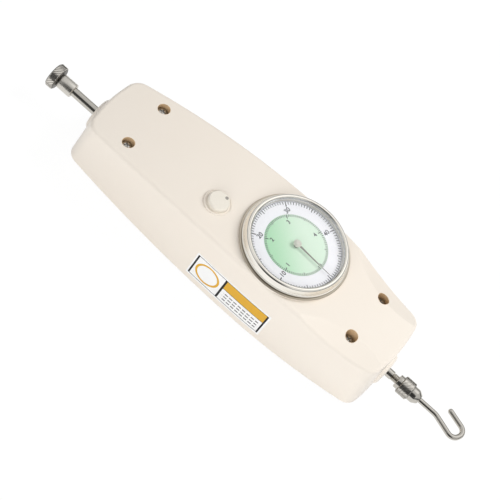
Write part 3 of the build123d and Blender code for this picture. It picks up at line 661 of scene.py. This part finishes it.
# ---------------------------------------------------------------- threads, screws and springs
def helix(start, tooth, centre, axis, pitch, turns):
    """A thread: the profile of its tooth wound along an axis."""
    steps = 28
    shape = bmesh.new()
    along = Vector(axis)
    out = Vector((0, 0, 1)) if axis[0] else Vector((1, 0, 0))
    root = Vector(centre) + along * start
    verts = [shape.verts.new(root + out * radius + along * rise) for radius, rise in tooth]
    edges = [shape.edges.new(pair) for pair in zip(verts, verts[1:])]
    bmesh.ops.spin(shape, geom=verts + edges, cent=centre, axis=axis, angle=2 * math.pi * turns,
                   steps=steps * turns, use_merge=False, dvec=along * pitch / steps)
    return shape


def shaft_thread():
    """Fine thread on the bare neck between the shaft and the coupling."""
    pitch, turns, neck_end = 0.7, 5, HOOK_ROOT_X - 14.7
    tooth = [(1.9, 0.0), (2.25, 0.28), (2.25, 0.38), (1.9, 0.66)]
    thread = helix(neck_end - pitch * turns, tooth, (0, 0, SHAFT_Z), (1, 0, 0), pitch, turns)
    piece("shaft_thread", thread, shaft_steel, "shaft")


def stand_threads():
    """Threads in the four holes of the back that take a test stand."""
    pitch, turns, start = 0.8, 8, 0.4
    tooth = [(2.14, 0.0), (1.95, 0.3), (1.95, 0.42), (2.14, 0.72)]
    shape = bmesh.new()
    for x in (-STAND_X, STAND_X):
        for y in (-STAND_Y, STAND_Y):
            merged(shape, helix(start, tooth, (x, y, 0), (0, 0, 1), pitch, turns))
    piece("stand_threads", shape, FINISHES["insert_brass"], "root")


def pan_head(centre, seat, top, turn):
    """A domed screw head with a cross recess."""
    foot = seat + 0.6
    slot_size = (3.5, 0.75, 2.4)
    dome = [(0, top), (1.0, top - 0.04), (1.8, top - 0.2), (2.45, top - 0.55), (2.85, top - 1.05),
            (2.95, top - 1.6), (2.95, foot), (0, foot)]
    head = spun(dome, 48, centre)
    for angle in (turn, turn + 90):
        slot = bmesh.new()
        bmesh.ops.create_cube(slot, size=1.0)
        bmesh.ops.scale(slot, vec=slot_size, verts=slot.verts)
        bmesh.ops.rotate(slot, cent=(0, 0, 0), matrix=Matrix.Rotation(math.radians(angle), 3, "Z"),
                         verts=slot.verts)
        bmesh.ops.translate(slot, vec=(centre[0], centre[1], top), verts=slot.verts)
        head = hollowed(head, slot)
    return head


def cover_screws():
    """Four pan heads, each on a cup washer and turned as it happened to tighten."""
    turns = {(1, 1): 22, (1, -1): 64, (-1, 1): 5, (-1, -1): 41}
    heads, washers = bmesh.new(), bmesh.new()
    for (side_x, side_y), turn in turns.items():
        centre, seat = (side_x * SCREW_X, side_y * SCREW_Y, 0), SCREW_SEATS[side_x]
        cup = [(1.7, seat), (3.2, seat), (3.24, seat + 0.8), (3.1, seat + 1.15), (2.85, seat + 1.1),
               (1.7, seat + 0.6), (1.7, seat)]
        merged(heads, pan_head(centre, seat, SCREW_TOPS[side_x], turn))
        merged(washers, spun(cup, 48, centre))
    steel = FINISHES["screw_steel"]
    piece("cover_screw_heads", heads, steel, "root", ["cover_screws"], smooth=30)
    piece("cup_washers", washers, steel, "root", ["cover_screws"])


def working_spring(name, node, body):
    """A coil rebuilt from a CAD spring that rides on a body, with a mesh of its own; lengths in
    millimetres.
    """
    coil = bmesh.new()
    coil.from_mesh(frame["nodes"][node].data)
    bmesh.ops.scale(coil, vec=(1 / MM, 1 / MM, 1 / MM), verts=coil.verts)
    made = piece(name, coil, FINISHES["spring_steel"], body, [node])
    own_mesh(made)


# ---------------------------------------------------------------- pointer and label
def needle():
    """Folded pointer whose fold catches the light; it narrows to a fine tip."""
    low, high, root, half_width, thickness = 48.22, 48.55, 0.9, 0.62, 0.12
    waists = ((3.0, 0.94), (12.0, 0.68), (19.0, 0.58), (23.1, 0.3))    # reach, and share of width kept
    shape = bmesh.new()
    fold = [shape.verts.new((DIAL_X + root, side * half_width, high if side == 0 else low))
            for side in (-1, 0, 1)]
    edges = [shape.edges.new(pair) for pair in zip(fold, fold[1:])]
    for reach, narrowing in waists:
        grown = bmesh.ops.extrude_edge_only(shape, edges=edges)["geom"]
        verts = [part for part in grown if isinstance(part, bmesh.types.BMVert)]
        edges = [part for part in grown if isinstance(part, bmesh.types.BMEdge)]
        bmesh.ops.translate(shape, vec=(DIAL_X + reach - verts[0].co.x, 0, 0), verts=verts)
        bmesh.ops.scale(shape, vec=(1, narrowing, 1), verts=verts)
    bmesh.ops.recalc_face_normals(shape, faces=shape.faces)
    bmesh.ops.solidify(shape, geom=shape.faces[:], thickness=thickness)
    bmesh.ops.rotate(shape, cent=(DIAL_X, 0, 0), verts=shape.verts,
                     matrix=Matrix.Rotation(math.radians(DIAL_TURN), 3, "Z"))
    blade = milled("needle_blade", srgb(158, 152, 140), 0.34, 0.46, 3.0, 0.7)
    piece("needle", shape, blade, "pointer_arbor", ["pointer"], smooth=30)


def needle_boss():
    """Turned boss that holds the needle on its arbor."""
    bore, low, high = 0.98, 48.0, 48.7
    profile = [(bore, low), (2.0, low), (2.15, low + 0.12), (2.15, high - 0.2), (1.95, high),
               (bore, high), (bore, low)]
    piece("needle_boss", spun(profile, 48), FINISHES["pointer_finish"], "pointer_arbor",
          ["pointer"], smooth=30)


def wall_sticker():
    """Thin label that follows the bowed, leaning side of the casing."""
    left, right, bottom, top = -10.8, 38.1, 5.7, 26.2
    clearance, thickness, outside_y = 0.03, 0.1, -60
    case = frame["nodes"]["rear_case"].data
    corners = [vert.co[:] for vert in case.vertices]
    wall = BVHTree.FromPolygons(corners, [face.vertices[:] for face in case.polygons])
    shape = bmesh.new()
    bmesh.ops.create_grid(shape, x_segments=48, y_segments=20, size=0.5)
    for vert in shape.verts:
        x = left + (vert.co.x + 0.5) * (right - left)
        z = bottom + (vert.co.y + 0.5) * (top - bottom)
        hit = wall.ray_cast(Vector((x, outside_y, z)) * MM, Vector((0, 1, 0)))[0]
        vert.co = (x, hit.y / MM - clearance, z)
    bmesh.ops.solidify(shape, geom=shape.faces[:], thickness=-thickness)
    piece("wall_sticker", shape, record_sticker_finish(), "root")


scale_marks("outer_scale_marks", count=100, step_angle=UNIT_ANGLE / 2, end=24.6,
            numbered=(21.7, 0.55), middling=(22.2, 0.46), small=(22.9, 0.38))
scale_marks("inner_scale_marks", count=101, step_angle=INNER_UNIT_ANGLE / 20, end=DISC_RADIUS,
            numbered=(15.0, 0.50), middling=(15.4, 0.44), small=(15.9, 0.36))
numerals("outer_numerals", ["10", "20", "30", "40"], 10 * UNIT_ANGLE, radius=19.5, size=3.5)
numerals("inner_numerals", ["1", "2", "3", "4"], INNER_UNIT_ANGLE, radius=13.0, size=3.2)
dial_face()
domed_crystal()
bezel_ring()
push_knob()
push_sleeve()
coupling_grip()
coupling_collars()
shaft_thread()
stand_threads()
cover_screws()
working_spring("load_coil", "load_spring", "root")
working_spring("button_coil", "button_spring", "mode_selector")
needle()
needle_boss()
wall_sticker()


# ---------------------------------------------------------------- studio
def lamp(name, place, target, size, power):
    """A soft square light; polished parts mirror the sky in its stead."""
    data = bpy.data.lights.new(name, "AREA")
    data.shape = "SQUARE"
    data.size = size
    data.energy = power
    made = bpy.data.objects.new(name, data)
    bpy.context.scene.collection.objects.link(made)
    made.location = place
    made.rotation_euler = (Vector(target) - Vector(place)).to_track_quat("-Z", "Y").to_euler()
    made.visible_glossy = False


def show(graph, kind, shader):
    """Links a shader to the output of its tree."""
    out = graph.tree.nodes.new(kind)
    graph.tree.links.new(shader.socket, out.inputs["Surface"])


def floor_white():
    """White to the camera and in reflections, with a soft shadow left in."""
    material = bpy.data.materials.new("floor_white")
    material.use_nodes = True
    material.node_tree.nodes.clear()
    ground = Graph(material.node_tree)
    matt = ground.node("ShaderNodeBsdfDiffuse", {}, {"Color": (0.9, 0.9, 0.9, 1)})
    glow = ground.node("ShaderNodeEmission", {}, {"Strength": 1.04})
    kinds = ("Is Camera Ray", "Is Glossy Ray", "Is Transmission Ray")
    seen = sum_of([ground.rays(kind) for kind in kinds])
    share = ground.node("ShaderNodeMath", {"operation": "MINIMUM"}, {0: seen, 1: 1.0}) * 0.9
    surface = ground.node("ShaderNodeMixShader", {}, {0: share, 1: matt, 2: glow})
    show(ground, "ShaderNodeOutputMaterial", surface)
    return material


def floor():
    """A wide pale floor, just under the back of the casing."""
    half_size, gap = 3.0, 0.0003
    shape = bmesh.new()
    bmesh.ops.create_grid(shape, x_segments=1, y_segments=1, size=half_size)
    bmesh.ops.translate(shape, vec=(0, 0, -gap), verts=shape.verts)
    mesh = bpy.data.meshes.new("floor")
    shape.to_mesh(mesh)
    shape.free()
    mesh.materials.append(floor_white())
    made = bpy.data.objects.new("floor", mesh)
    bpy.context.scene.collection.objects.link(made)


def sky():
    """An even pale sky; what is polished mirrors its window and the dark of the room round it."""
    dark_side, window_side = (0.04, -0.76, 0.65), (0.25, 0.50, 0.83)
    dark_height, soft_light = 0.13, 0.58
    world = bpy.data.worlds.new("studio")
    bpy.context.scene.world = world
    world.use_nodes = True
    world.node_tree.nodes.clear()
    room = Graph(world.node_tree)
    toward = room.node("ShaderNodeTexCoord", {}, {}, "Generated")
    height = room.split(toward)[Z]
    dark = room.spread(room.dot(toward, dark_side), 1.0, 0.07, 0.80, 0.955)
    horizon = room.spread(abs(height - dark_height), 0.12, 1.0, 0.08, 0.24)
    window = room.spread(room.dot(toward, window_side), 0.0, 0.7, 0.90, 0.99)
    polished = dark * horizon * 0.98 + window
    camera, glossy = room.rays("Is Camera Ray"), room.rays("Is Glossy Ray")
    level = camera + (1 - camera) * (glossy * polished + (1 - glossy) * soft_light)
    background = room.node("ShaderNodeBackground", {}, {"Strength": level})
    show(room, "ShaderNodeOutputWorld", background)


def view_camera():
    """Looks down from above the labelled side, rolled so that the gauge lies across the frame."""
    tilt, turn, roll = (math.radians(angle) for angle in (54.149, 4.068, 38.435))
    distance, pixels_per_mm, across, along = 1.0, 1.931, 11.071, 3.625
    picture_width, sensor_width = 500, 36.0
    ground = math.cos(tilt)
    back = Vector((math.sin(turn) * ground, -math.cos(turn) * ground, math.sin(tilt)))
    level = Vector((math.cos(turn), math.sin(turn), 0))
    upright = back.cross(level)
    right = math.cos(roll) * level + math.sin(roll) * upright
    up = math.cos(roll) * upright - math.sin(roll) * level
    data = bpy.data.cameras.new("camera")
    data.sensor_width = sensor_width
    data.lens = pixels_per_mm * distance / MM * sensor_width / picture_width
    data.clip_start, data.clip_end = 0.05, 20
    camera = bpy.data.objects.new("camera", data)
    bpy.context.scene.collection.objects.link(camera)
    place = (across * right + along * up) * MM + distance * back
    camera.matrix_world = Matrix.Translation(place) @ Matrix((right, up, back)).transposed().to_4x4()
    bpy.context.scene.camera = camera


view_camera()
floor()
sky()
lamp("key", place=(0.40, 0.45, 0.75), target=(0.02, 0, 0.02), size=0.45, power=4.5)
lamp("fill", place=(0.15, -0.95, 0.50), target=(0, 0, 0.02), size=0.8, power=5.0)

bpy.context.scene.view_settings.view_transform = "Standard"
